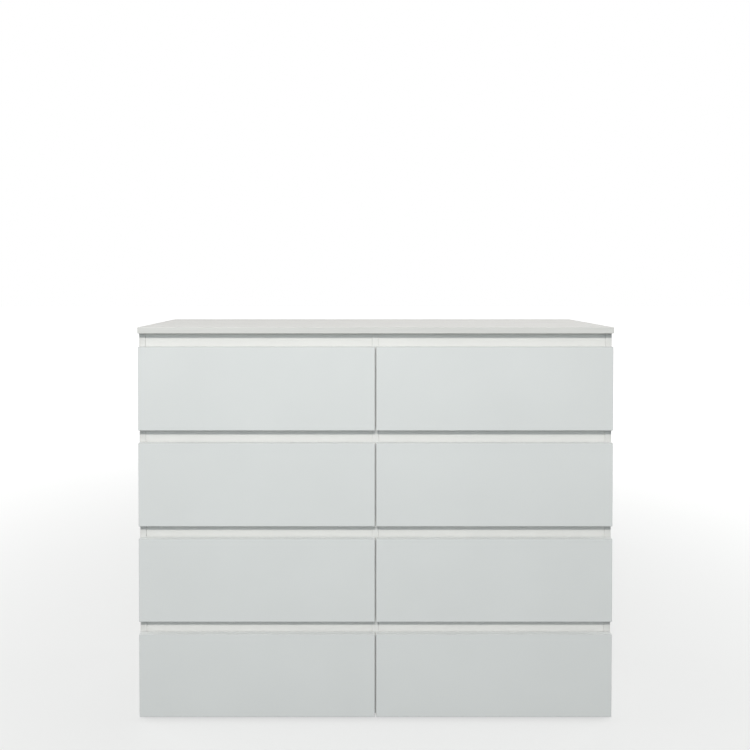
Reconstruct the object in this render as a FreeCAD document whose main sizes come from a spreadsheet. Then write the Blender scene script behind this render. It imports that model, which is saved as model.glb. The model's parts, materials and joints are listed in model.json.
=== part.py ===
import FreeCAD, Part
import os
import Sketcher
from FreeCAD import Placement, Rotation, Vector

# Wide chest of eight drawers, two columns of four, made of 16 mm coated board.
# Frame: X to the right, Y to the rear, Z up. Origin on the floor, under the middle of the chest.
# The drawers are identical, so each drawer piece is drawn once, in the frame of its own bay
# (x = 0 in the middle of the bay, z = 0 at the lower edge of the drawer front), and every
# drawer node is a compound of those pieces with its own placement.

DIMENSIONS = {
    # whole chest
    "overall_width": 1200,
    "overall_depth": 400,
    "overall_height": 1000,
    "board": 16,
    "board_arris": 0.8,
    "hardboard": 3,
    "back_recess": 0.6,
    "back_seam": 0.5,
    "carcass_setback": 17.5,
    # drawer fronts
    "front_height": 211,
    "front_margin": 1.5,
    "grip_gap": 32,
    "floor_clearance": 10,
    # front rails behind the grip gaps
    "rail_height": 60,
    "rail_recess": 1,
    "rail_seam": 0.2,
    # floor glides and middle feet
    "glide_height": 5,
    "glide_radius": 7.5,
    "foot_radius": 15,
    "foot_chamfer": 1,
    "glide_inset": 42.5,
    # drawer boxes
    "box_board": 12,
    "box_arris": 0.5,
    "box_lift": 20,
    "box_height": 150,
    "box_depth": 350,
    "groove_depth": 6,
    "groove_lift": 8,
    "bottom_play": 0.5,
    # roller runners, measured from the wall of the bay
    "runner_space": 13,
    "runner_length": 350,
    "runner_setback": 2.5,
    "gauge": 1.2,
    "channel_reach": 10.8,
    "channel_opening": 24,
    "member_drop": 12.8,
    "shelf_reach": 25,
    "track_start": 3,
    "track_height": 21.6,
    "roller_radius": 10.5,
    "roller_lift": 10.8,
    "roller_width": 7,
    "roller_offset": 3,
    "roller_play": 0.2,
    "roller_bore": 2.58,
    "roller_edge": 0.6,
    "pin_radius": 2.5,
    "shoulder_radius": 4,
    "rivet_head": 1,
    "roller_inset": 14,
    # wall brackets under the rear of the top
    "bracket_leg": 40,
    "bracket_width": 20,
    "bracket_gauge": 2,
    "bracket_hole": 2.5,
    "bracket_drop": 20,
    # dowels
    "dowel_radius": 4,
    "dowel_length": 30,
    "dowel_sink": 7,
    "dowel_play": 0.05,
    "rail_dowel_spread": 32,
    "panel_dowel_rear": 90,
    "panel_dowel_front": -80,
    # cam fittings: a disc in the face of one panel, a bolt from the face of the other
    "cam_radius": 7.5,
    "cam_depth": 12.5,
    "cam_distance": 34,
    "cam_slot_width": 1.6,
    "cam_slot_length": 9,
    "cam_slot_depth": 2.5,
    "bolt_radius": 3,
    "bolt_sink": 10,
    "cam_front": -112,
    "cam_rear": 122,
}

ROWS = (1, 2, 3, 4)
COLUMNS = {"left": -1, "right": 1}
PROBLEM_STATES = {"Invalid", "Error"}

TOWARDS_RIGHT = Vector(1, 0, 0)
TOWARDS_LEFT = Vector(-1, 0, 0)
UPWARDS = Vector(0, 0, 1)
DOWNWARDS = Vector(0, 0, -1)
REARWARDS = Vector(0, 1, 0)

# Places worked out from the driving dimensions, as expressions on the sheet.
SIDE_X = "(dims.overall_width / 2)"
INNER_X = f"({SIDE_X} - dims.board)"
FRONT_Y = "(-dims.overall_depth / 2)"
REAR_Y = "(dims.overall_depth / 2)"
FRONT_BACK_Y = f"({FRONT_Y} + dims.board)"
CARCASS_Y = f"({FRONT_Y} + dims.carcass_setback)"
BACK_PANEL_Y = f"({REAR_Y} - dims.back_recess - dims.hardboard)"
CARCASS_DEPTH = f"({BACK_PANEL_Y} - {CARCASS_Y})"
TOP_UNDERSIDE = "(dims.overall_height - dims.board)"
BOTTOM_TOP = "(dims.floor_clearance + dims.board)"
ROW_PITCH = "(dims.front_height + dims.grip_gap)"
BAY_WIDTH = f"({INNER_X} - dims.board / 2)"
BAY_CENTRE = f"(({INNER_X} + dims.board / 2) / 2)"
BOX_HALF = f"({BAY_WIDTH} / 2 - dims.runner_space)"
BOX_INNER_HALF = f"({BOX_HALF} - dims.box_board)"
BOX_REAR_Y = f"({FRONT_BACK_Y} + dims.box_depth)"
GROOVE_Z = "(dims.box_lift + dims.groove_lift)"
BOTTOM_HALF = f"({BOX_INNER_HALF} + dims.groove_depth - dims.bottom_play)"
RUNNER_Z = "(dims.box_lift + dims.member_drop)"
CHANNEL_FRONT_Y = f"({CARCASS_Y} + dims.runner_setback)"
CHANNEL_CENTRE_Y = f"({CHANNEL_FRONT_Y} + dims.runner_length / 2)"
MEMBER_CENTRE_Y = f"({FRONT_BACK_Y} + dims.box_depth / 2)"
FRONT_ROLLER_Y = f"({CHANNEL_FRONT_Y} + dims.roller_inset)"
REAR_ROLLER_Y = f"({BOX_REAR_Y} - dims.roller_inset)"
RAIL_Y = f"({CARCASS_Y} + dims.rail_recess)"
RAIL_LENGTH = f"({BAY_WIDTH} - 2 * dims.rail_seam)"
RAIL_MIDDLE_Y = f"({RAIL_Y} + dims.board / 2)"
BRACKET_HOLE_Z = f"({TOP_UNDERSIDE} - dims.bracket_drop)"
PANEL_DOWEL_PLACES = ("dims.panel_dowel_front", "dims.panel_dowel_rear")
CAM_PLACES = ("dims.cam_front", "dims.cam_rear")

doc = FreeCAD.newDocument("chest_of_drawers")
sheet = doc.addObject("Spreadsheet::Sheet", "dims")
for line, (alias, value) in enumerate(DIMENSIONS.items(), start=1):
    sheet.set(f"A{line}", alias)
    sheet.set(f"B{line}", str(value))
    sheet.setAlias(f"B{line}", alias)
doc.recompute()

nodes = []


# ---------------------------------------------------------------- helpers

def place(item, x="0", y="0", z="0"):
    """Bind the item's base point to three expressions."""
    for axis, expression in zip("xyz", (x, y, z)):
        item.setExpression(f"Placement.Base.{axis}", expression)


def new_body(name):
    """An empty body."""
    return doc.addObject("PartDesign::Body", name)


def block(body, kind, low, size):
    """An Additive or Subtractive box in the body, from its low corner and its three sizes."""
    feature = body.newObject(f"PartDesign::{kind}Box", f"{body.Name}_block")
    for side, expression in zip(("Length", "Width", "Height"), size):
        feature.setExpression(side, expression)
    place(feature, *low)
    return feature


def rod(body, kind, start, direction, radius, length):
    """An Additive or Subtractive cylinder in the body, running from start along direction."""
    feature = body.newObject(f"PartDesign::{kind}Cylinder", f"{body.Name}_rod")
    feature.setExpression("Radius", radius)
    feature.setExpression("Height", length)
    feature.Placement = Placement(Vector(), Rotation(UPWARDS, direction))
    place(feature, *start)
    return feature


def shifted(point, direction, distance):
    """The point moved by a distance along a direction, as expressions."""
    return tuple(f"({coordinate} + {component:g} * ({distance}))"
                 for coordinate, component in zip(point, direction))


def round_edges(body, radius):
    """Round every edge that the body has so far."""
    base = body.Tip
    edges = [f"Edge{number + 1}" for number in range(len(base.Shape.Edges))]
    fillet = body.newObject("PartDesign::Fillet", f"{body.Name}_arris")
    fillet.Base = (base, edges)
    fillet.setExpression("Radius", radius)


def board(name, low, size, arris="dims.box_arris"):
    """A board with slightly rounded edges."""
    body = new_body(name)
    block(body, "Additive", low, size)
    doc.recompute()
    round_edges(body, arris)
    return body


def profile(body, plane_role, points):
    """A closed outline of straight lines on one of the body's planes, each corner dimensioned."""
    plane = next(item for item in body.Origin.OriginFeatures if item.Role == plane_role)
    sketch = body.newObject("Sketcher::SketchObject", f"{body.Name}_profile")
    sketch.AttachmentSupport = [(plane, "")]
    sketch.MapMode = "FlatFace"
    count = len(points)
    start = [Rotation(UPWARDS, 360.0 * corner / count).multVec(Vector(10, 0, 0)) for corner in range(count)]
    for corner in range(count):
        sketch.addGeometry(Part.LineSegment(start[corner], start[(corner + 1) % count]), False)
    for corner in range(count):
        sketch.addConstraint(Sketcher.Constraint("Coincident", corner, 2, (corner + 1) % count, 1))
    for corner, point in enumerate(points):
        for direction, expression in zip(("DistanceX", "DistanceY"), point):
            index = sketch.addConstraint(Sketcher.Constraint(direction, -1, 1, corner, 1, 1.0))
            sketch.setExpression(f"Constraints[{index}]", expression)
    return sketch


def extrude(body, sketch, length):
    """Pad a sketch by half the length to each side of its plane."""
    pad = body.newObject("PartDesign::Pad", f"{body.Name}_pad")
    pad.Profile = sketch
    pad.SideType = "Symmetric"
    pad.setExpression("Length", length)


def turn(body, sketch, axis_name):
    """Revolve a sketch once round one of its own axes."""
    revolution = body.newObject("PartDesign::Revolution", f"{body.Name}_turned")
    revolution.Profile = sketch
    revolution.ReferenceAxis = (sketch, [axis_name])
    revolution.Angle = 360


def mirror(name, source):
    """The mirror image of an item in the plane x = 0."""
    image = doc.addObject("Part::Mirroring", name)
    image.Source = source
    image.Normal = TOWARDS_RIGHT
    return image


def group(name, pieces, x="0", y="0", z="0"):
    """Separate solids kept together as one item, at its own place."""
    compound = doc.addObject("Part::Compound", name)
    compound.Links = pieces
    place(compound, x, y, z)
    return compound


def node(item, label):
    """Give a finished sub-part the label that names its file."""
    item.Label = label
    nodes.append(item)


def row_z(row):
    """Height of the lower edge of the drawer fronts of a row; row 1 is the top one."""
    return f"(dims.floor_clearance + {len(ROWS) - row} * {ROW_PITCH})"


def rail_z(row):
    """Height of the lower edge of the rail behind the grip gap above a row."""
    if row == ROWS[0]:
        return f"({TOP_UNDERSIDE} - dims.rail_height)"
    return f"({row_z(row)} + dims.front_height + (dims.grip_gap - dims.rail_height) / 2)"


def bay_x(column):
    """Middle of the left or right bay."""
    return f"({COLUMNS[column]} * {BAY_CENTRE})"


def drill_dowel(face_board, edge_board, joint, direction):
    """Holes for one dowel, which crosses a joint from the face of one board into the edge of another."""
    radius = "(dims.dowel_radius + dims.dowel_play)"
    if face_board:
        rod(face_board, "Subtractive", shifted(joint, direction, "-dims.dowel_sink"), direction,
            radius, "dims.dowel_sink + dims.rail_seam")
    if edge_board:
        rod(edge_board, "Subtractive", shifted(joint, direction, "-dims.rail_seam"), direction,
            radius, "dims.dowel_length - dims.dowel_sink + 2 * dims.rail_seam")


def dowel(joint, direction):
    """A dowel that crosses a joint."""
    body = new_body("dowel")
    rod(body, "Additive", shifted(joint, direction, "-dims.dowel_sink"), direction,
        "dims.dowel_radius", "dims.dowel_length")
    return body


def drill_bolt(face_board, joint, direction):
    """The socket of a cam bolt in the face of a board."""
    rod(face_board, "Subtractive", shifted(joint, direction, "-dims.bolt_sink"), direction,
        "dims.bolt_radius + dims.dowel_play", "dims.bolt_sink")


def drill_cam(cam_board, joint, direction, inward):
    """The bolt's bore in the edge of a board, and the disc's pocket in the board's face."""
    rod(cam_board, "Subtractive", joint, direction, "dims.dowel_radius", "dims.cam_distance")
    centre = shifted(joint, direction, "dims.cam_distance")
    floor = shifted(centre, inward, "dims.board / 2 - dims.cam_depth")
    rod(cam_board, "Subtractive", floor, inward, "dims.cam_radius + dims.dowel_play", "dims.cam_depth")


def cam_slot(inward):
    """Sizes of the driver slot in a disc that faces along X or Z; the slot runs along Y."""
    if abs(inward.x) > abs(inward.z):
        return ("dims.cam_slot_depth", "dims.cam_slot_length", "dims.cam_slot_width")
    return ("dims.cam_slot_width", "dims.cam_slot_length", "dims.cam_slot_depth")


def cam_fitting(joint, direction, inward):
    """The disc and the bolt of one cam fitting, as two bodies."""
    centre = shifted(joint, direction, "dims.cam_distance")
    face = shifted(centre, inward, "dims.board / 2")
    disc = new_body("cam_disc")
    rod(disc, "Additive", shifted(face, inward, "-dims.cam_depth"), inward,
        "dims.cam_radius", "dims.cam_depth")
    slot_size = cam_slot(inward)
    slot_centre = shifted(face, inward, "-dims.cam_slot_depth / 2")
    low = tuple(f"({middle} - {extent} / 2)" for middle, extent in zip(slot_centre, slot_size))
    block(disc, "Subtractive", low, slot_size)
    bolt = new_body("cam_bolt")
    rod(bolt, "Additive", shifted(joint, direction, "-dims.bolt_sink"), direction,
        "dims.bolt_radius", "dims.bolt_sink + dims.cam_distance - dims.cam_radius - dims.dowel_play")
    return [disc, bolt]


# ---------------------------------------------------------------- carcass panels

top = board("top", (f"-{SIDE_X}", FRONT_Y, TOP_UNDERSIDE),
            ("dims.overall_width", "dims.overall_depth", "dims.board"), "dims.board_arris")
side = board("side", (f"-{SIDE_X}", CARCASS_Y, "dims.glide_height"),
             ("dims.board", CARCASS_DEPTH, f"{TOP_UNDERSIDE} - dims.glide_height"))
divider = board("divider", ("-dims.board / 2", CARCASS_Y, BOTTOM_TOP),
                ("dims.board", CARCASS_DEPTH, f"{TOP_UNDERSIDE} - {BOTTOM_TOP}"))
bottom = board("bottom", (f"-{INNER_X}", CARCASS_Y, "dims.floor_clearance"),
               (f"2 * {INNER_X}", CARCASS_DEPTH, "dims.board"))

# One front rail, in the frame of its bay, with z = 0 at its lower edge.
rail = board("rail", (f"-{RAIL_LENGTH} / 2", RAIL_Y, "0"), (RAIL_LENGTH, "dims.board", "dims.rail_height"))

dowels = []
cams = []

# Dowels between the ends of each rail and the upright panels.
rail_end_dowels = []
for end, direction in ((-1, TOWARDS_RIGHT), (1, TOWARDS_LEFT)):
    for step in (-1, 1):
        height = f"(dims.rail_height / 2 + {step} * dims.rail_dowel_spread / 2)"
        joint = (f"({end} * {BAY_WIDTH} / 2)", RAIL_MIDDLE_Y, height)
        drill_dowel(None, rail, joint, direction)
        rail_end_dowels.append(dowel(joint, direction))
for row in ROWS:
    for step in (-1, 1):
        height = f"({rail_z(row)} + dims.rail_height / 2 + {step} * dims.rail_dowel_spread / 2)"
        drill_dowel(side, None, (f"-{INNER_X}", RAIL_MIDDLE_Y, height), TOWARDS_RIGHT)
        drill_dowel(divider, None, ("-dims.board / 2", RAIL_MIDDLE_Y, height), TOWARDS_LEFT)
        drill_dowel(divider, None, ("dims.board / 2", RAIL_MIDDLE_Y, height), TOWARDS_RIGHT)

# Joints of the upright panels with the top, and of the bottom panel with its neighbours.
LEFT_EDGE = f"(-{SIDE_X} + dims.board / 2)"
RIGHT_EDGE = f"({SIDE_X} - dims.board / 2)"
BOTTOM_MIDDLE = "(dims.floor_clearance + dims.board / 2)"

for depth in PANEL_DOWEL_PLACES:
    left_joint = (LEFT_EDGE, depth, TOP_UNDERSIDE)
    right_joint = (RIGHT_EDGE, depth, TOP_UNDERSIDE)
    middle_joint = ("0", depth, TOP_UNDERSIDE)
    foot_joint = ("0", depth, BOTTOM_TOP)
    low_left_joint = (f"-{INNER_X}", depth, BOTTOM_MIDDLE)
    low_right_joint = (INNER_X, depth, BOTTOM_MIDDLE)
    drill_dowel(top, side, left_joint, DOWNWARDS)
    drill_dowel(top, None, right_joint, DOWNWARDS)
    drill_dowel(top, divider, middle_joint, DOWNWARDS)
    drill_dowel(bottom, divider, foot_joint, UPWARDS)
    drill_dowel(side, bottom, low_left_joint, TOWARDS_RIGHT)
    drill_dowel(None, bottom, low_right_joint, TOWARDS_LEFT)
    dowels += [dowel(joint, DOWNWARDS) for joint in (left_joint, right_joint, middle_joint)]
    dowels.append(dowel(foot_joint, UPWARDS))
    dowels.append(dowel(low_left_joint, TOWARDS_RIGHT))
    dowels.append(dowel(low_right_joint, TOWARDS_LEFT))

# Cam fittings: under the top in the uprights, and in the underside of the bottom panel.
for depth in CAM_PLACES:
    left_joint = (LEFT_EDGE, depth, TOP_UNDERSIDE)
    right_joint = (RIGHT_EDGE, depth, TOP_UNDERSIDE)
    middle_joint = ("0", depth, TOP_UNDERSIDE)
    low_left_joint = (f"-{INNER_X}", depth, BOTTOM_MIDDLE)
    low_right_joint = (INNER_X, depth, BOTTOM_MIDDLE)
    for joint in (left_joint, right_joint, middle_joint):
        drill_bolt(top, joint, DOWNWARDS)
    drill_bolt(side, low_left_joint, TOWARDS_RIGHT)
    drill_cam(side, left_joint, DOWNWARDS, TOWARDS_RIGHT)
    drill_cam(divider, middle_joint, DOWNWARDS, TOWARDS_RIGHT)
    drill_cam(bottom, low_left_joint, TOWARDS_RIGHT, DOWNWARDS)
    drill_cam(bottom, low_right_joint, TOWARDS_LEFT, DOWNWARDS)
    cams += cam_fitting(left_joint, DOWNWARDS, TOWARDS_RIGHT)
    cams += cam_fitting(right_joint, DOWNWARDS, TOWARDS_LEFT)
    cams += cam_fitting(middle_joint, DOWNWARDS, TOWARDS_RIGHT)
    cams += cam_fitting(low_left_joint, TOWARDS_RIGHT, DOWNWARDS)
    cams += cam_fitting(low_right_joint, TOWARDS_LEFT, DOWNWARDS)

rails = [group("rail_in_bay", [rail], bay_x(column), "0", rail_z(row)) for row in ROWS for column in COLUMNS]
dowels += [group("rail_dowels", rail_end_dowels, bay_x(column), "0", rail_z(row))
           for row in ROWS for column in COLUMNS]

# The hardboard back is two sheets that meet on the divider, each with one hole for the wall fixing.
back_size = (f"{SIDE_X} - dims.front_margin", "dims.hardboard", f"{TOP_UNDERSIDE} - dims.floor_clearance")
back = new_body("back")
block(back, "Additive", ("dims.back_seam / 2", BACK_PANEL_Y, "dims.floor_clearance"), back_size)
rod(back, "Subtractive", (BAY_CENTRE, BACK_PANEL_Y, BRACKET_HOLE_Z), REARWARDS,
    "dims.bracket_hole", "dims.hardboard")

node(top, "top_panel")
node(side, "side_panel_left")
node(mirror("side_mirrored", side), "side_panel_right")
node(divider, "centre_divider")
node(bottom, "bottom_panel")
node(group("rails", rails), "front_rails")
node(group("backs", [back, mirror("back_mirrored", back)]), "back_panels")
node(group("all_dowels", dowels), "dowels")
node(group("all_cams", cams), "cam_fittings")


# ---------------------------------------------------------------- wall brackets, glides and feet

# The bracket's profile has its corner where the top meets the back.
bracket = new_body("bracket")
bracket_outline = profile(bracket, "YZ_Plane", [
    ("0", "0"),
    ("0", "-dims.bracket_leg"),
    ("-dims.bracket_gauge", "-dims.bracket_leg"),
    ("-dims.bracket_gauge", "-dims.bracket_gauge"),
    ("-dims.bracket_leg", "-dims.bracket_gauge"),
    ("-dims.bracket_leg", "0"),
])
extrude(bracket, bracket_outline, "dims.bracket_width")
rod(bracket, "Subtractive", ("0", "-dims.bracket_gauge", "-dims.bracket_drop"), REARWARDS,
    "dims.bracket_hole", "dims.bracket_gauge")
brackets = [group("bracket_in_bay", [bracket], bay_x(column), BACK_PANEL_Y, TOP_UNDERSIDE)
            for column in COLUMNS]
node(group("all_brackets", brackets), "wall_brackets")


def glide(name, radius, height):
    """A turned plastic foot with a chamfered lower edge."""
    body = new_body(name)
    outline = profile(body, "XZ_Plane", [
        ("0", "0"),
        (f"{radius} - dims.foot_chamfer", "0"),
        (radius, "dims.foot_chamfer"),
        (radius, height),
        ("0", height),
    ])
    turn(body, outline, "V_Axis")
    return body


GLIDE_X = f"({SIDE_X} - dims.board / 2)"
GLIDE_FRONT_Y = f"({CARCASS_Y} + dims.glide_inset)"
GLIDE_REAR_Y = f"({BACK_PANEL_Y} - dims.glide_inset)"
side_glide = glide("side_glide", "dims.glide_radius", "dims.glide_height")
middle_foot = glide("middle_foot", "dims.foot_radius", "dims.floor_clearance")
feet = []
for depth in (GLIDE_FRONT_Y, GLIDE_REAR_Y):
    for sign in COLUMNS.values():
        feet.append(group("glide_in_place", [side_glide], f"{sign} * {GLIDE_X}", depth))
    feet.append(group("foot_in_place", [middle_foot], "0", depth))
node(group("all_feet", feet), "floor_glides")


# ---------------------------------------------------------------- runners on the walls of the bays

def pin(body, middle_y, start, direction):
    """The riveted axle of one roller: shoulder, pin and head, standing on a runner's web."""
    reach = "dims.roller_width + 2 * dims.roller_play"
    shoulder = "(dims.roller_offset - dims.roller_play - dims.gauge)"
    centre = (start, middle_y, "dims.roller_lift")
    rod(body, "Additive", centre, direction, "dims.shoulder_radius", shoulder)
    rod(body, "Additive", centre, direction, "dims.pin_radius", f"{shoulder} + {reach} + dims.rivet_head / 2")
    rod(body, "Additive", shifted(centre, direction, f"{shoulder} + {reach}"), direction,
        "dims.shoulder_radius", "dims.rivet_head")


# The channel's profile starts at the wall, with z = 0 on its lower running face.
channel = new_body("channel")
channel_outline = profile(channel, "XZ_Plane", [
    ("0", "-dims.gauge"),
    ("dims.channel_reach", "-dims.gauge"),
    ("dims.channel_reach", "0"),
    ("dims.gauge", "0"),
    ("dims.gauge", "dims.channel_opening"),
    ("dims.channel_reach", "dims.channel_opening"),
    ("dims.channel_reach", "dims.channel_opening + dims.gauge"),
    ("0", "dims.channel_opening + dims.gauge"),
])
extrude(channel, channel_outline, "dims.runner_length")
pin(channel, "-dims.runner_length / 2 + dims.roller_inset", "dims.gauge", TOWARDS_RIGHT)
place(channel, f"-{BAY_WIDTH} / 2", CHANNEL_CENTRE_Y, RUNNER_Z)
channel_pair = [channel, mirror("channel_mirrored", channel)]
channels = [group("channels_in_bay", channel_pair, bay_x(column), "0", row_z(row))
            for row in ROWS for column in COLUMNS]
node(group("all_channels", channels), "cabinet_runners")


# ---------------------------------------------------------------- drawer pieces, drawn once

# Drawer front of the right column: it reaches from the middle of the chest to the outer face.
front = board("front", (f"dims.front_margin - {BAY_CENTRE}", FRONT_Y, "0"),
              (f"{SIDE_X} - 2 * dims.front_margin", "dims.board", "dims.front_height"), "dims.board_arris")
block(front, "Subtractive",
      (f"-{BOX_INNER_HALF} - dims.groove_depth", f"{FRONT_BACK_Y} - dims.groove_depth", GROOVE_Z),
      (f"2 * ({BOX_INNER_HALF} + dims.groove_depth)", "dims.groove_depth", "dims.hardboard"))

box_side = board("box_side", (f"-{BOX_HALF}", FRONT_BACK_Y, "dims.box_lift"),
                 ("dims.box_board", "dims.box_depth", "dims.box_height"))
block(box_side, "Subtractive", (f"-{BOX_INNER_HALF} - dims.groove_depth", FRONT_BACK_Y, GROOVE_Z),
      ("dims.groove_depth", "dims.box_depth", "dims.hardboard"))

box_back = board("box_back",
                 (f"-{BOX_INNER_HALF}", f"{BOX_REAR_Y} - dims.box_board", f"{GROOVE_Z} + dims.hardboard"),
                 (f"2 * {BOX_INNER_HALF}", "dims.box_board",
                  "dims.box_height - dims.groove_lift - dims.hardboard"))

box_bottom = new_body("box_bottom")
block(box_bottom, "Additive", (f"-{BOTTOM_HALF}", f"{FRONT_BACK_Y} - dims.groove_depth", GROOVE_Z),
      (f"2 * {BOTTOM_HALF}", "dims.box_depth + dims.groove_depth", "dims.hardboard"))

# The drawer's runner is a Z section: a shelf under the box side, a web beside it
# and a track over the rollers.
WEB_FACE = "dims.runner_space - dims.gauge"
member = new_body("member")
member_outline = profile(member, "XZ_Plane", [
    ("dims.track_start", "dims.track_height"),
    (WEB_FACE, "dims.track_height"),
    (WEB_FACE, "-dims.member_drop - dims.gauge"),
    ("dims.shelf_reach", "-dims.member_drop - dims.gauge"),
    ("dims.shelf_reach", "-dims.member_drop"),
    ("dims.runner_space", "-dims.member_drop"),
    ("dims.runner_space", "dims.track_height + dims.gauge"),
    ("dims.track_start", "dims.track_height + dims.gauge"),
])
extrude(member, member_outline, "dims.box_depth")
pin(member, "dims.box_depth / 2 - dims.roller_inset", WEB_FACE, TOWARDS_LEFT)
place(member, f"-{BAY_WIDTH} / 2", MEMBER_CENTRE_Y, RUNNER_Z)


def roller_pair(name, depth):
    """Two nylon rollers on one axis, one beside each wall of the bay."""
    body = new_body(name)
    outline = profile(body, "XZ_Plane", [
        ("0", "dims.roller_bore"),
        ("0", "dims.roller_radius - dims.roller_edge"),
        ("dims.roller_edge", "dims.roller_radius"),
        ("dims.roller_width - dims.roller_edge", "dims.roller_radius"),
        ("dims.roller_width", "dims.roller_radius - dims.roller_edge"),
        ("dims.roller_width", "dims.roller_bore"),
    ])
    turn(body, outline, "H_Axis")
    place(body, f"-{BAY_WIDTH} / 2 + dims.roller_offset", depth, f"{RUNNER_Z} + dims.roller_lift")
    return [body, mirror(f"{name}_mirrored", body)]


fronts = {"right": front, "left": mirror("front_mirrored", front)}
box_pieces = [box_side, mirror("box_side_mirrored", box_side), box_back]
member_pair = [member, mirror("member_mirrored", member)]
front_rollers = roller_pair("front_roller", FRONT_ROLLER_Y)
rear_rollers = roller_pair("rear_roller", REAR_ROLLER_Y)

for row in ROWS:
    for column in COLUMNS:
        drawer_pieces = {
            "front": [fronts[column]],
            "box": box_pieces,
            "bottom": [box_bottom],
            "runners": member_pair,
            "rear_rollers": rear_rollers,
            "front_rollers": front_rollers,
        }
        for piece_name, pieces in drawer_pieces.items():
            label = f"drawer_{row}_{column}_{piece_name}"
            node(group(f"{label}_group", pieces, bay_x(column), "0", row_z(row)), label)

doc.recompute()


# ---------------------------------------------------------------- check and write

for item in doc.Objects:
    if PROBLEM_STATES & set(item.State):
        raise RuntimeError(f"{item.Name} failed: {item.State}")
for sub_part in nodes:
    if sub_part.Shape.isNull() or not sub_part.Shape.isValid():
        raise RuntimeError(f"{sub_part.Label} has no valid shape")

os.makedirs("parts", exist_ok=True)
for sub_part in nodes:
    sub_part.Shape.exportStep(f"parts/{sub_part.Label}.step")
    solids = sub_part.Shape.Solids
    volume = sum(solid.Volume for solid in solids)
    print(f"{sub_part.Label}: {len(solids)} solids, {volume / 1000:.1f} cm3")
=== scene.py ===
import json
import math

import bmesh
import bpy
from mathutils import Matrix, Vector

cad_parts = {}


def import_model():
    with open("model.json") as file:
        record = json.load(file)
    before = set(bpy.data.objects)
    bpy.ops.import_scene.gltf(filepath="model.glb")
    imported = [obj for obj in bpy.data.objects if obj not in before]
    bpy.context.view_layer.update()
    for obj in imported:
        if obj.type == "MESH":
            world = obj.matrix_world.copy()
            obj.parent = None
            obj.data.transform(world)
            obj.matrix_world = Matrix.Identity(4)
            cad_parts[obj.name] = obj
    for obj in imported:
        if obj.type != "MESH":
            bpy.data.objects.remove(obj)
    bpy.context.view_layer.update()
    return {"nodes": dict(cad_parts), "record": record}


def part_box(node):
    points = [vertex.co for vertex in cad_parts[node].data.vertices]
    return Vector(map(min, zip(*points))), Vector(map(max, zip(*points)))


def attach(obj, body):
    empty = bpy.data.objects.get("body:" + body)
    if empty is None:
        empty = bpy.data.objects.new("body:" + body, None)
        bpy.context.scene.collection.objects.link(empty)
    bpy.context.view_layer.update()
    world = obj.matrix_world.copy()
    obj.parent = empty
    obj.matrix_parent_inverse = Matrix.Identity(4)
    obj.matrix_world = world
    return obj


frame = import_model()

MM = 0.001
ROWS = (1, 2, 3, 4)
COLUMNS = ("left", "right")
DRAWERS = [f"drawer_{row}_{column}" for row in ROWS for column in COLUMNS]

# Colours are linear RGB, as the shaders take them.
WHITE_FRONT = (0.757, 0.774, 0.770)
WHITE_CARCASS = (0.77, 0.765, 0.745)
WHITE_TOP = (0.76, 0.757, 0.733)
WHITE_FOIL = (0.74, 0.745, 0.72)
WHITE_LACQUER = (0.70, 0.69, 0.65)
WHITE_POWDER = (0.76, 0.76, 0.73)
BARE_FIBRE = (0.34, 0.215, 0.115)
NYLON = (0.72, 0.71, 0.64)
ZINC_PLATE = (0.40, 0.41, 0.43)
ZINC_CAST = (0.22, 0.23, 0.245)
BEECH = (0.52, 0.33, 0.17)
BLACK_PLASTIC = (0.02, 0.02, 0.022)

BAND_THICKNESS = 1.0 * MM
GLUE_LINE = 0.3 * MM


# ---------------------------------------------------------------- materials

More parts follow.
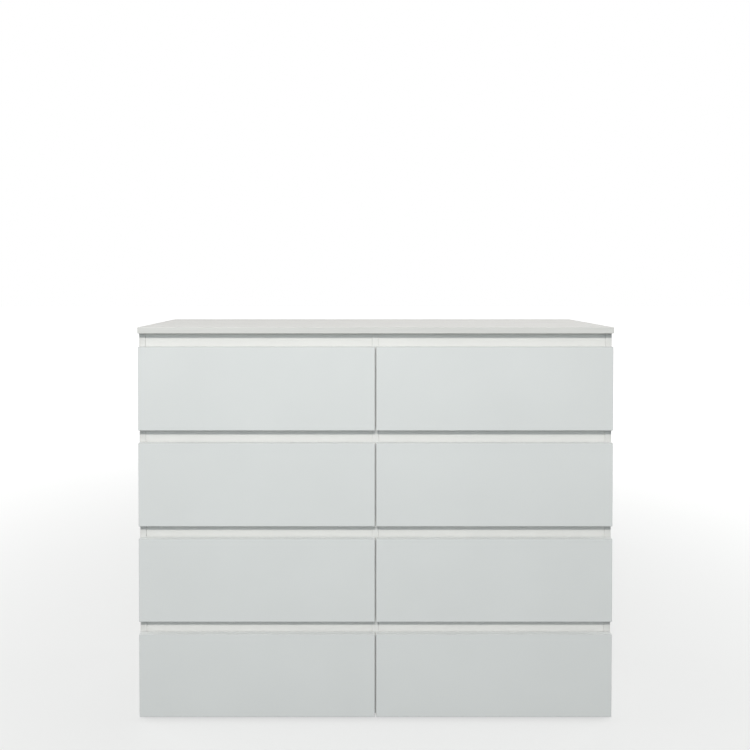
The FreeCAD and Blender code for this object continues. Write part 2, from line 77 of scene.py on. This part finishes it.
class Shader:
    """A node material under construction, with object coordinates in metres."""

    def __init__(self, name):
        self.material = bpy.data.materials.new(name)
        self.material.use_nodes = True
        self.nodes = self.material.node_tree.nodes
        self.links = self.material.node_tree.links
        self.surface = self.nodes["Principled BSDF"]
        coordinates = self.nodes.new("ShaderNodeTexCoord")
        self.place = coordinates.outputs["Object"]
        self.share = coordinates.outputs["Generated"]

    def link(self, source, target):
        self.links.new(source, target)

    def stretched(self, scale):
        """Object coordinates multiplied by a scale for each axis."""
        mapping = self.nodes.new("ShaderNodeMapping")
        mapping.inputs["Scale"].default_value = scale
        self.link(self.place, mapping.inputs["Vector"])
        return mapping.outputs["Vector"]

    def noise(self, scale, detail=2.0, vector=None, roughness=0.5, distortion=0.0):
        """A noise value from 0 to 1."""
        texture = self.nodes.new("ShaderNodeTexNoise")
        texture.inputs["Scale"].default_value = scale
        texture.inputs["Detail"].default_value = detail
        texture.inputs["Roughness"].default_value = roughness
        texture.inputs["Distortion"].default_value = distortion
        self.link(vector or self.place, texture.inputs["Vector"])
        return texture.outputs["Fac"]

    def ramp(self, value, low, high, start=0.0, end=1.0):
        """A value mapped from low..high to start..end, held at both ends."""
        node = self.nodes.new("ShaderNodeMapRange")
        node.inputs["From Min"].default_value = low
        node.inputs["From Max"].default_value = high
        node.inputs["To Min"].default_value = start
        node.inputs["To Max"].default_value = end
        self.link(value, node.inputs["Value"])
        return node.outputs["Result"]

    def spread(self, noise, start=0.0, end=1.0):
        """A noise value's usual range, 0.3 to 0.7, mapped to start..end."""
        return self.ramp(noise, 0.3, 0.7, start, end)

    def calculate(self, operation, first, second):
        """A Math node on a value and a value or number."""
        node = self.nodes.new("ShaderNodeMath")
        node.operation = operation
        for socket, source in zip(node.inputs, (first, second)):
            if isinstance(source, (int, float)):
                socket.default_value = source
            else:
                self.link(source, socket)
        return node.outputs["Value"]

    def absolute(self, value):
        """A value without its sign."""
        return self.calculate("ABSOLUTE", value, 0.0)

    def mix(self, factor, first, second):
        """A colour between two colours, each a tuple or a socket."""
        node = self.nodes.new("ShaderNodeMix")
        node.data_type = "RGBA"
        self.link(factor, node.inputs["Factor"])
        for socket, source in zip((node.inputs[6], node.inputs[7]), (first, second)):
            if isinstance(source, tuple):
                socket.default_value = (*source, 1.0)
            else:
                self.link(source, socket)
        return node.outputs[2]

    def scaled(self, colour, factor):
        """A colour, a tuple or a socket, made lighter or darker by a value."""
        node = self.nodes.new("ShaderNodeVectorMath")
        node.operation = "SCALE"
        if isinstance(colour, tuple):
            node.inputs[0].default_value = colour
        else:
            self.link(colour, node.inputs[0])
        self.link(factor, node.inputs["Scale"])
        return node.outputs["Vector"]

    def colour(self, source):
        self.link(source, self.surface.inputs["Base Color"])

    def roughness(self, source):
        self.link(source, self.surface.inputs["Roughness"])

    def bump(self, height, distance, strength=1.0, under=None):
        """Surface relief from a height value, with its depth in metres."""
        node = self.nodes.new("ShaderNodeBump")
        node.inputs["Strength"].default_value = strength
        node.inputs["Distance"].default_value = distance
        self.link(height, node.inputs["Height"])
        if under:
            self.link(under, node.inputs["Normal"])
        self.link(node.outputs["Normal"], self.surface.inputs["Normal"])
        return node.outputs["Normal"]

    def facing(self, axis):
        """The surface normal's part along an axis, in the frame of the object."""
        geometry = self.nodes.new("ShaderNodeNewGeometry")
        split = self.nodes.new("ShaderNodeSeparateXYZ")
        self.link(geometry.outputs["Normal"], split.inputs["Vector"])
        return split.outputs[axis]

    def edge_distance(self, extents):
        """Distance to the nearest edge of a board's broad face, given its extent along two axes."""
        split = self.nodes.new("ShaderNodeSeparateXYZ")
        self.link(self.share, split.inputs["Vector"])
        distances = []
        for axis, extent in extents.items():
            off_centre = self.absolute(self.calculate("SUBTRACT", split.outputs[axis], 0.5))
            distances.append(self.calculate("MULTIPLY", self.calculate("SUBTRACT", 0.5, off_centre), extent))
        return self.calculate("MINIMUM", *distances)


def shade(colour, factor):
    """A colour made lighter or darker by a factor."""
    return tuple(channel * factor for channel in colour)


def face_extents(node_name, axes):
    """A node's extents along two axes, for its edge bands."""
    low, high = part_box(node_name)
    return {axis: getattr(high - low, axis.lower()) for axis in axes}


def edge_band(shader, colour, extents):
    """Colour and relief of a board's edge band: a slightly darker strip beyond a fine glue line."""
    distance = shader.edge_distance(extents)
    inside = shader.ramp(distance, BAND_THICKNESS, BAND_THICKNESS + GLUE_LINE)
    banded = shader.mix(inside, shade(colour, 0.955), colour)
    off_line = shader.absolute(shader.calculate("SUBTRACT", distance, BAND_THICKNESS))
    clear = shader.ramp(off_line, GLUE_LINE * 0.5, GLUE_LINE)
    return shader.mix(clear, shade(colour, 0.72), banded), clear


def coated_board(name, colour, extents=None):
    """Matt melamine coating with a very fine pebbled press texture, and an edge band if extents are given."""
    shader = Shader(name)
    cloud = shader.noise(5.0, 3.0)
    speck = shader.noise(1400.0, 2.0)
    relief = None
    base = colour
    if extents:
        base, clear = edge_band(shader, colour, extents)
        relief = shader.bump(clear, 0.1 * MM, 0.6)
    tone = shader.scaled(base, shader.spread(cloud, 0.985, 1.012))
    speckled = shader.scaled(tone, shader.ramp(speck, 0.62, 0.78, 1.0, 0.955))
    shader.colour(speckled)
    shader.roughness(shader.ramp(shader.noise(60.0, 4.0), 0.25, 0.75, 0.40, 0.52))
    pebbles = shader.noise(2100.0, 3.0, roughness=0.6)
    waves = shader.bump(shader.noise(22.0, 1.0), 0.12 * MM, 0.35, relief)
    shader.bump(pebbles, 0.03 * MM, 0.5, waves)
    shader.surface.inputs["Specular IOR Level"].default_value = 0.42
    return shader.material


def grained_board(name, colour, extents):
    """White coating with faint ash grain along X: long fine pores and soft wide bands."""
    shader = Shader(name)
    pores = shader.noise(1.0, 5.0, shader.stretched((9.0, 620.0, 620.0)), 0.62, 0.4)
    bands = shader.noise(1.0, 3.0, shader.stretched((1.4, 42.0, 42.0)), 0.55, 0.8)
    grain = shader.calculate("ADD", shader.ramp(pores, 0.42, 0.66, 0.0, 0.55),
                             shader.ramp(bands, 0.35, 0.68, 0.0, 0.45))
    base, clear = edge_band(shader, colour, extents)
    shader.colour(shader.scaled(base, shader.ramp(grain, 0.0, 1.0, 1.02, 0.90)))
    shader.roughness(shader.spread(pores, 0.36, 0.54))
    shader.bump(pores, 0.08 * MM, 0.6, shader.bump(clear, 0.1 * MM, 0.6))
    shader.surface.inputs["Specular IOR Level"].default_value = 0.45
    return shader.material


def foil_board(name):
    """Smooth white foil round the drawer's fibreboard sides."""
    shader = Shader(name)
    shader.colour(shader.mix(shader.spread(shader.noise(8.0, 3.0)), shade(WHITE_FOIL, 0.975), WHITE_FOIL))
    shader.roughness(shader.spread(shader.noise(90.0, 3.0), 0.30, 0.42))
    shader.bump(shader.noise(420.0, 2.0), 0.05 * MM, 0.35)
    return shader.material


def hardboard(name, axis, lacquered_is_positive):
    """Thin fibreboard: white lacquer on one face, brown felted fibres on the other."""
    shader = Shader(name)
    fibres = shader.noise(1.0, 4.0, shader.stretched((900.0, 900.0, 260.0)), 0.65, 1.2)
    flecks = shader.noise(340.0, 5.0, roughness=0.7)
    brown = shader.mix(shader.ramp(fibres, 0.35, 0.65), shade(BARE_FIBRE, 0.72), shade(BARE_FIBRE, 1.25))
    brown = shader.mix(shader.ramp(flecks, 0.60, 0.74), brown, shade(BARE_FIBRE, 0.45))
    clouds = shader.spread(shader.noise(6.0, 4.0))
    brown = shader.mix(shader.calculate("MULTIPLY", clouds, 0.35), brown, shade(BARE_FIBRE, 1.5))
    white = shader.mix(shader.ramp(flecks, 0.45, 0.8), WHITE_LACQUER, shade(WHITE_LACQUER, 0.93))
    facing = shader.facing(axis)
    low, high = (0.2, 0.6) if lacquered_is_positive else (-0.2, -0.6)
    shader.colour(shader.mix(shader.ramp(facing, low, high), brown, white))
    shader.roughness(shader.ramp(facing, low, high, 0.82, 0.45))
    shader.bump(fibres, 0.12 * MM, 0.5)
    return shader.material


def powder_coat(name):
    """White powder coat on rolled steel, with a fine orange peel."""
    shader = Shader(name)
    tone = shader.spread(shader.noise(30.0, 3.0))
    shader.colour(shader.mix(tone, shade(WHITE_POWDER, 0.97), shade(WHITE_POWDER, 1.02)))
    shader.roughness(shader.spread(shader.noise(150.0, 3.0), 0.28, 0.40))
    shader.bump(shader.noise(700.0, 2.0), 0.06 * MM, 0.5)
    return shader.material


def moulded_plastic(name, colour, roughness):
    """Moulded plastic with slight flow marks."""
    shader = Shader(name)
    tone = shader.spread(shader.noise(120.0, 3.0, distortion=0.8))
    shader.colour(shader.mix(tone, shade(colour, 0.92), shade(colour, 1.06)))
    shader.roughness(shader.spread(shader.noise(500.0, 3.0), roughness - 0.06, roughness + 0.06))
    shader.bump(shader.noise(900.0, 2.0), 0.04 * MM, 0.4)
    return shader.material


def metal(name, colour, roughness, brushed):
    """Zinc, plated with fine drawing lines or cast with a grainy skin."""
    shader = Shader(name)
    scale = (40.0, 2600.0, 2600.0) if brushed else (900.0, 900.0, 900.0)
    lines = shader.noise(1.0, 3.0, shader.stretched(scale))
    stains = shader.noise(70.0, 4.0)
    shader.colour(shader.mix(shader.ramp(stains, 0.35, 0.7), colour, shade(colour, 0.82)))
    shader.roughness(shader.spread(lines, roughness - 0.07, roughness + 0.07))
    shader.bump(lines, 0.04 * MM, 0.4)
    shader.surface.inputs["Metallic"].default_value = 1.0
    return shader.material


def beech_wood(name):
    """Bare beech with short dark rays."""
    shader = Shader(name)
    grain = shader.noise(1.0, 4.0, shader.stretched((400.0, 900.0, 400.0)), 0.6, 0.6)
    shader.colour(shader.mix(shader.ramp(grain, 0.35, 0.65), shade(BEECH, 0.78), shade(BEECH, 1.12)))
    shader.roughness(shader.spread(grain, 0.55, 0.7))
    shader.bump(grain, 0.1 * MM, 0.5)
    return shader.material


FINISHES = {
    "front_board": coated_board("front_coating", WHITE_FRONT, face_extents("drawer_1_left_front", "XZ")),
    "top_board": grained_board("top_coating", WHITE_TOP, face_extents("top_panel", "XY")),
    "coated_board": coated_board("carcass_coating", WHITE_CARCASS),
    "drawer_board": foil_board("drawer_foil"),
    "hardboard": hardboard("drawer_bottom_hardboard", "Z", True),
    "runner_steel": powder_coat("runner_powder_coat"),
    "nylon": moulded_plastic("natural_nylon", NYLON, 0.38),
    "zinc_plate": metal("zinc_plated_steel", ZINC_PLATE, 0.30, True),
    "zinc_casting": metal("cast_zinc", ZINC_CAST, 0.46, False),
    "beech": beech_wood("beech"),
    "glide_plastic": moulded_plastic("black_polyethylene", BLACK_PLASTIC, 0.45),
}
SIDE_FINISH = coated_board("side_coating", WHITE_CARCASS, face_extents("side_panel_left", "YZ"))
NODE_FINISHES = {
    "back_panels": hardboard("back_panel_hardboard", "Y", False),
    "side_panel_left": SIDE_FINISH,
    "side_panel_right": SIDE_FINISH,
}
SLOT_OF_NODE = {entry["node"]: entry["material_slot"] for entry in frame["record"]["subparts"]}


def finish_node(name, node):
    """Give a CAD node its own finish, or the finish of its slot."""
    node.data.materials.clear()
    node.data.materials.append(NODE_FINISHES.get(name, FINISHES[SLOT_OF_NODE[name]]))


for node_name, cad_node in frame["nodes"].items():
    finish_node(node_name, cad_node)


# ---------------------------------------------------------------- small fittings as meshes

# How deep the underside of a screw, nail or cam goes into the surface it sits on.
LET_IN = 0.2 * MM
SMOOTH_ANGLE = math.radians(32)
QUARTER_TURNS = [math.radians(90 * quarter) for quarter in range(4)]

OUTWARD = {-1: Vector((-1, 0, 0)), 1: Vector((1, 0, 0))}
DOWN = Vector((0, 0, -1))
REAR = Vector((0, 1, 0))

# Profiles of turned fittings: shares of the height and of the radius, up from the seat.
SCREW_PROFILE = ((0.0, 1.0), (0.45, 1.0), (0.85, 0.82), (1.0, 0.5), (0.98, 0.3), (0.35, 0.0))
BOTTOM_NAIL_PROFILE = ((0.0, 1.0), (0.6, 1.0), (1.0, 0.6), (1.0, 0.0))
BACK_NAIL_PROFILE = ((0.0, 1.0), (0.5, 1.0), (1.0, 0.5), (1.0, 0.0))
# A chamfered rim and a shallow dish: distances along the axis and radii.
CAM_PROFILE = [(along * MM, radius * MM)
               for along, radius in ((0.0, 7.5), (0.35, 7.3), (0.4, 6.2), (0.15, 5.9), (0.15, 0.0))]

SCREW_RADIUS = 3.6 * MM
SCREW_HEIGHT = 1.6 * MM
FLUSH_HEIGHT = 0.35 * MM
RUNNER_SCREW_RADIUS = 3.0 * MM
RUNNER_SCREW_HEIGHT = 1.2 * MM
NAIL_RADIUS = 2.2 * MM
NAIL_HEIGHT = 0.5 * MM
NAIL_SPACING = 150 * MM
RUNNER_STEEL = 1.2 * MM
BRACKET_STEEL = 2 * MM
BOX_BOARD = 12 * MM


def seat(origin, axis):
    """The place of a fitting that stands on a surface at origin and points along axis."""
    return Matrix.Translation(origin) @ axis.to_track_quat("Z", "Y").to_matrix().to_4x4()


def sized(profile, height, radius):
    """A profile of shares turned into real distances and radii."""
    return [(height * along, radius * out) for along, out in profile]


def turned(mesh, profile, origin, axis, segments=24):
    """Add a closed turned solid: the profile lists (distance along axis, radius) up from the seat."""
    profile = [(-LET_IN, 0.0), (-LET_IN, profile[0][1]), *profile]
    to_frame = seat(origin, axis)
    rings = []
    for along, radius in profile:
        if radius == 0.0:
            rings.append([mesh.verts.new(to_frame @ Vector((0.0, 0.0, along)))])
            continue
        ring = []
        for step in range(segments):
            angle = 2.0 * math.pi * step / segments
            corner = Vector((radius * math.cos(angle), radius * math.sin(angle), along))
            ring.append(mesh.verts.new(to_frame @ corner))
        rings.append(ring)
    for lower, upper in zip(rings, rings[1:]):
        for step in range(segments):
            after = (step + 1) % segments
            corners = [lower[step % len(lower)], lower[after % len(lower)],
                       upper[after % len(upper)], upper[step % len(upper)]]
            corners = list(dict.fromkeys(corners))
            if len(corners) > 2:
                mesh.faces.new(corners)


def wedge(mesh, place, half):
    """Add a small block with a narrowed top, given its place and its half sizes."""
    levels = ((-half[2], 1.0), (half[2], 0.72))
    outline = ((-1, -1), (1, -1), (1, 1), (-1, 1))
    low, high = [[mesh.verts.new(place @ Vector((x * half[0] * share, y * half[1] * share, z)))
                  for x, y in outline] for z, share in levels]
    mesh.faces.new(low[::-1])
    mesh.faces.new(high)
    for step in range(4):
        after = (step + 1) % 4
        mesh.faces.new([low[step], low[after], high[after], high[step]])


def cross(mesh, place, first_turn, arm_centre, arm_half):
    """Add the four arms of a driver cross, the first one turned by first_turn."""
    for quarter_turn in QUARTER_TURNS:
        arm = Matrix.Rotation(quarter_turn + first_turn, 4, "Z") @ Matrix.Translation(arm_centre)
        wedge(mesh, place @ arm, arm_half)


def cross_head(mesh, origin, axis, radius, height):
    """Add a pan-head screw with a driver cross in its dished top, standing on a surface at origin."""
    turned(mesh, sized(SCREW_PROFILE, height, radius), origin, axis)
    cross(mesh, seat(origin, axis), math.radians(45), (radius * 0.42, 0.0, height * 0.86),
          (radius * 0.34, radius * 0.07, height * 0.16))


def cam_face(mesh, origin, axis):
    """Add the visible end of a cam disc: a chamfered rim, a shallow dish and a raised driver cross."""
    turned(mesh, CAM_PROFILE, origin, axis, 32)
    cross(mesh, seat(origin, axis), 0.0, (2.4 * MM, 0.0, 0.3 * MM), (2.2 * MM, 0.55 * MM, 0.2 * MM))


def add_object(name, data):
    """A new object in the scene."""
    item = bpy.data.objects.new(name, data)
    bpy.context.scene.collection.objects.link(item)
    return item


def piece(name, build, body, slot_name):
    """Build a mesh piece, give it the slot's finish and let it ride on a body."""
    shape = bmesh.new()
    build(shape)
    bmesh.ops.recalc_face_normals(shape, faces=shape.faces)
    data = bpy.data.meshes.new(name)
    shape.to_mesh(data)
    shape.free()
    data.materials.append(FINISHES[slot_name])
    item = add_object(name, data)
    for polygon in data.polygons:
        polygon.use_smooth = True
    data.set_sharp_from_angle(angle=SMOOTH_ANGLE)
    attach(item, body)


def drawer_screws(drawer):
    """Screws of one drawer: through the box sides into the back, and through each runner into the sides."""
    box_low, box_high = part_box(f"{drawer}_box")
    runner_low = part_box(f"{drawer}_runners")[0]
    height_shares = (0.55, 0.88)
    runner_depths = (30 * MM, 160 * MM, 320 * MM)
    runner_rise = 6.2 * MM

    def build(mesh):
        for side, face in ((-1, box_low.x), (1, box_high.x)):
            for share in height_shares:
                height = box_low.z + (box_high.z - box_low.z) * share
                spot = Vector((face, box_high.y - BOX_BOARD / 2, height))
                cross_head(mesh, spot, OUTWARD[side], SCREW_RADIUS, SCREW_HEIGHT)
            web = face + side * RUNNER_STEEL
            for depth in runner_depths:
                spot = Vector((web, runner_low.y + depth, runner_low.z + runner_rise))
                cross_head(mesh, spot, OUTWARD[side], RUNNER_SCREW_RADIUS, RUNNER_SCREW_HEIGHT)
    return build


def drawer_cams(drawer):
    """Cam discs that pull the drawer front to the box sides, set flush in the sides' outer faces."""
    box_low, box_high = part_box(f"{drawer}_box")
    behind_front = 24 * MM
    rises = (58 * MM, 122 * MM)

    def build(mesh):
        for side, face in ((-1, box_low.x), (1, box_high.x)):
            for rise in rises:
                cam_face(mesh, Vector((face, box_low.y + behind_front, box_low.z + rise)), OUTWARD[side])
    return build


def bottom_nails(drawer):
    """Nails that hold the drawer bottom to the box back, seen from below."""
    low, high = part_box(f"{drawer}_bottom")
    nail = sized(BOTTOM_NAIL_PROFILE, NAIL_HEIGHT, NAIL_RADIUS)
    count = 4

    def build(mesh):
        for step in range(count):
            x = low.x + (high.x - low.x) * (step + 0.5) / count
            turned(mesh, nail, Vector((x, high.y - BOX_BOARD / 2, low.z)), DOWN, 16)
    return build


for drawer_name in DRAWERS:
    piece(f"{drawer_name}_screws", drawer_screws(drawer_name), drawer_name, "zinc_plate")
    piece(f"{drawer_name}_cams", drawer_cams(drawer_name), drawer_name, "zinc_casting")
    piece(f"{drawer_name}_bottom_nails", bottom_nails(drawer_name), drawer_name, "zinc_plate")


def channel_screws(mesh):
    """Flush screws through the web of every fixed runner into its panel."""
    channels_low, channels_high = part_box("cabinet_runners")
    divider_low, divider_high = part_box("centre_divider")
    # Each face that channels are screwed to, and the way the screws point out of it.
    walls = ((channels_low.x, 1), (divider_low.x, -1), (divider_high.x, 1), (channels_high.x, -1))
    depths = (60 * MM, 190 * MM, 310 * MM)
    below_runner_top = 12 * MM
    for row in ROWS:
        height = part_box(f"drawer_{row}_left_runners")[1].z - below_runner_top
        for wall, side in walls:
            for depth in depths:
                spot = Vector((wall + side * RUNNER_STEEL, channels_low.y + depth, height))
                cross_head(mesh, spot, OUTWARD[side], SCREW_RADIUS, FLUSH_HEIGHT)


def bracket_screws(mesh):
    """A pan-head screw up through each wall bracket into the top."""
    low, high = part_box("wall_brackets")
    half_bracket = 10 * MM
    into_leg = 14 * MM
    for x in (low.x + half_bracket, high.x - half_bracket):
        spot = Vector((x, low.y + into_leg, high.z - BRACKET_STEEL))
        cross_head(mesh, spot, DOWN, SCREW_RADIUS, SCREW_HEIGHT)


def back_nails(mesh):
    """Nails up the sides of both hardboard sheets and along their lower edge."""
    low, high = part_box("back_panels")
    nail = sized(BACK_NAIL_PROFILE, NAIL_HEIGHT, NAIL_RADIUS)
    side_inset = 7 * MM
    divider_inset = 5 * MM
    lower_inset = 8 * MM
    rows = round((high.z - low.z) / NAIL_SPACING)
    for x in (low.x + side_inset, -divider_inset, divider_inset, high.x - side_inset):
        for step in range(rows):
            height = low.z + (high.z - low.z) * (step + 0.5) / rows
            turned(mesh, nail, Vector((x, high.y, height)), REAR, 16)
    count = round((high.x - low.x) / NAIL_SPACING)
    for step in range(count):
        x = low.x + (high.x - low.x) * (step + 0.5) / count
        turned(mesh, nail, Vector((x, high.y, low.z + lower_inset)), REAR, 16)


piece("runner_screws", channel_screws, "carcass", "zinc_plate")
piece("bracket_screws", bracket_screws, "carcass", "zinc_plate")
piece("back_nails", back_nails, "carcass", "zinc_plate")


# ---------------------------------------------------------------- floor, light and camera

FLOOR_HALF = 30.0
FLOOR_COLOUR = (0.20, 0.205, 0.20, 1.0)
FLOOR_ROUGHNESS = 0.9
PURE_WHITE = (1.0, 1.0, 1.0, 1.0)
# The floor's glow, from under the chest out to where it is even: weaker near the chest, which paints shade on
# the floor round it.
GLOW_NEAR, GLOW_FAR = 0.4, 5.0
GLOW_SHADED, GLOW_HIGH = 0.62, 1.02

AMBIENT_COLOUR = (0.96, 0.98, 1.0, 1.0)
AMBIENT_STRENGTH = 0.09

WARM = (1.0, 0.982, 0.955)
COOL = (0.83, 0.95, 1.0)
NEUTRAL = (1.0, 1.0, 1.0)
SIDE_SIZE = (2.2, 1.8)
SIDE_POWER = 42.0
MIDDLE = (0.0, 0.0, 0.5)

EYE = (-0.0506, -2.105, 1.1167)
TILT_DOWN = math.radians(1.0)
LENS = 36.4
SENSOR_WIDTH = 36.0
SHIFT = (0.026, -0.108)


def seen(tree):
    """1 for rays of the camera and of gloss, 0 for rays that only gather light."""
    path = tree.nodes.new("ShaderNodeLightPath")
    either = tree.nodes.new("ShaderNodeMath")
    either.operation = "MAXIMUM"
    tree.links.new(path.outputs["Is Camera Ray"], either.inputs[0])
    tree.links.new(path.outputs["Is Glossy Ray"], either.inputs[1])
    return either.outputs["Value"]


def floor():
    """A wide pale floor that glows to the camera, so that it reads as a white studio sweep, with a weaker
    glow near the chest as painted shade.
    """
    half = FLOOR_HALF
    corners = [(-half, -half, 0), (half, -half, 0), (half, half, 0), (-half, half, 0)]
    data = bpy.data.meshes.new("floor")
    data.from_pydata(corners, [], [(0, 1, 2, 3)])
    item = add_object("floor", data)
    material = bpy.data.materials.new("studio_floor")
    material.use_nodes = True
    tree = material.node_tree
    surface = tree.nodes["Principled BSDF"]
    surface.inputs["Base Color"].default_value = FLOOR_COLOUR
    surface.inputs["Roughness"].default_value = FLOOR_ROUGHNESS
    surface.inputs["Emission Color"].default_value = PURE_WHITE
    place = tree.nodes.new("ShaderNodeTexCoord")
    distance = tree.nodes.new("ShaderNodeVectorMath")
    distance.operation = "LENGTH"
    tree.links.new(place.outputs["Object"], distance.inputs[0])
    # Painted shade: the glow is weaker near the chest, so the floor round it is darker.
    glow = tree.nodes.new("ShaderNodeMapRange")
    glow.interpolation_type = "SMOOTHSTEP"
    glow.inputs["From Min"].default_value = GLOW_NEAR
    glow.inputs["From Max"].default_value = GLOW_FAR
    glow.inputs["To Min"].default_value = GLOW_SHADED
    glow.inputs["To Max"].default_value = GLOW_HIGH
    tree.links.new(distance.outputs["Value"], glow.inputs["Value"])
    strength = tree.nodes.new("ShaderNodeMath")
    strength.operation = "MULTIPLY"
    tree.links.new(glow.outputs["Result"], strength.inputs[0])
    tree.links.new(seen(tree), strength.inputs[1])
    tree.links.new(strength.outputs["Value"], surface.inputs["Emission Strength"])
    data.materials.append(material)


def world():
    """Even white surroundings, which light the scene with a weaker and cooler glow."""
    scene_world = bpy.data.worlds.new("studio")
    scene_world.use_nodes = True
    tree = scene_world.node_tree
    lighting = tree.nodes["Background"]
    lighting.inputs["Color"].default_value = AMBIENT_COLOUR
    lighting.inputs["Strength"].default_value = AMBIENT_STRENGTH
    backdrop = tree.nodes.new("ShaderNodeBackground")
    backdrop.inputs["Color"].default_value = PURE_WHITE
    either = tree.nodes.new("ShaderNodeMixShader")
    tree.links.new(seen(tree), either.inputs["Fac"])
    tree.links.new(lighting.outputs["Background"], either.inputs[1])
    tree.links.new(backdrop.outputs["Background"], either.inputs[2])
    tree.links.new(either.outputs["Shader"], tree.nodes["World Output"].inputs["Surface"])
    bpy.context.scene.world = scene_world


def area_light(name, place, target, size, power, colour):
    """A rectangular soft light, unseen by the camera, that points from its place at a target."""
    data = bpy.data.lights.new(name, "AREA")
    data.shape = "RECTANGLE"
    data.size, data.size_y = size
    data.energy = power
    data.color = colour
    item = add_object(name, data)
    item.location = place
    item.rotation_mode = "QUATERNION"
    item.rotation_quaternion = (Vector(target) - Vector(place)).to_track_quat("-Z", "Y")
    item.visible_camera = False
    return item


def lights():
    """A warm key from high in front, a cool low fill, and soft light on the top, the sides and the back."""
    area_light("key", place=(-0.6, -4.6, 4.1), target=(0.0, -0.2, 0.75), size=(1.0, 0.56),
               power=214.0, colour=WARM)
    area_light("window", place=(-0.3, -3.6, 1.7), target=(0.0, -0.2, 0.2), size=(2.4, 1.3),
               power=28.0, colour=COOL)
    area_light("top", place=(0.3, -0.5, 3.3), target=(0.0, -0.1, 1.0), size=(1.6, 1.0),
               power=3.0, colour=WARM)
    area_light("side_right", (3.4, 0.5, 1.6), MIDDLE, SIDE_SIZE, SIDE_POWER, NEUTRAL)
    area_light("side_left", (-3.4, 0.5, 1.6), MIDDLE, SIDE_SIZE, SIDE_POWER, NEUTRAL)
    rear = area_light("rear", place=(1.0, 3.4, 2.2), target=MIDDLE, size=(2.4, 1.8),
                      power=35.0, colour=NEUTRAL)
    rear.visible_glossy = False


def camera():
    """The viewing camera, looking along +Y and slightly down."""
    data = bpy.data.cameras.new("camera")
    data.lens = LENS
    data.sensor_width = SENSOR_WIDTH
    data.shift_x, data.shift_y = SHIFT
    item = add_object("camera", data)
    item.location = EYE
    item.rotation_euler = (math.radians(90.0) - TILT_DOWN, 0.0, 0.0)
    bpy.context.scene.camera = item


floor()
world()
lights()
camera()
bpy.context.scene.view_settings.view_transform = "Standard"
